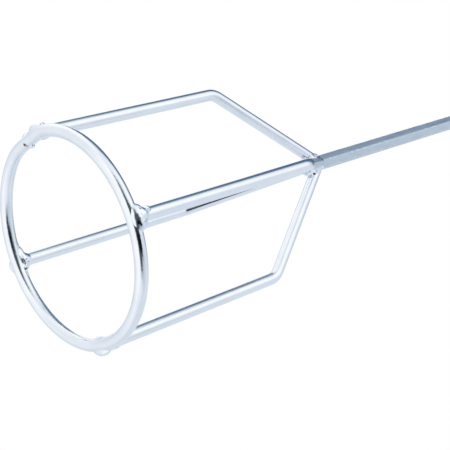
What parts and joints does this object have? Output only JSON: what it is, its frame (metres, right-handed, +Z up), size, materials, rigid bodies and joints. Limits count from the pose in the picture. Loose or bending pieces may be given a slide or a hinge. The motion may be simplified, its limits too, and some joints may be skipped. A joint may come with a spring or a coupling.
{
  "type": "mixing paddle",
  "caption": "Mortar mixing paddle: hexagonal drive shaft, bent round-bar arms that form an open cage, and a round hoop at the end, all welded and zinc plated.",
  "frame": {"origin": "centre of the circle on which the hoop stands, below the shaft's axis", "axes": "+Z up the shaft from the hoop to the shank; +X towards the first arm"},
  "size_m": [0.1447, 0.1446, 0.6],
  "materials": {
    "zinc_round_bar": "bright zinc plated drawn round bar",
    "zinc_hex_bar": "bright zinc plated drawn hexagonal bar",
    "zinc_weld": "zinc plated arc weld, uneven, with small pits"
  },
  "bodies": {
    "root": {"shaft": "zinc_hex_bar", "hoop": "zinc_round_bar", "arm_1": "zinc_round_bar", "arm_2": "zinc_round_bar", "arm_3": "zinc_round_bar", "arm_4": "zinc_round_bar", "weld_hoop_outer_1": "zinc_weld", "weld_hoop_outer_2": "zinc_weld", "weld_hoop_outer_3": "zinc_weld", "weld_hoop_outer_4": "zinc_weld", "weld_hoop_inner_1": "zinc_weld", "weld_hoop_inner_2": "zinc_weld", "weld_hoop_inner_3": "zinc_weld", "weld_hoop_inner_4": "zinc_weld", "weld_hub_1": "zinc_weld", "weld_hub_2": "zinc_weld", "weld_hub_3": "zinc_weld", "weld_hub_4": "zinc_weld"}
  },
  "joints": []
}
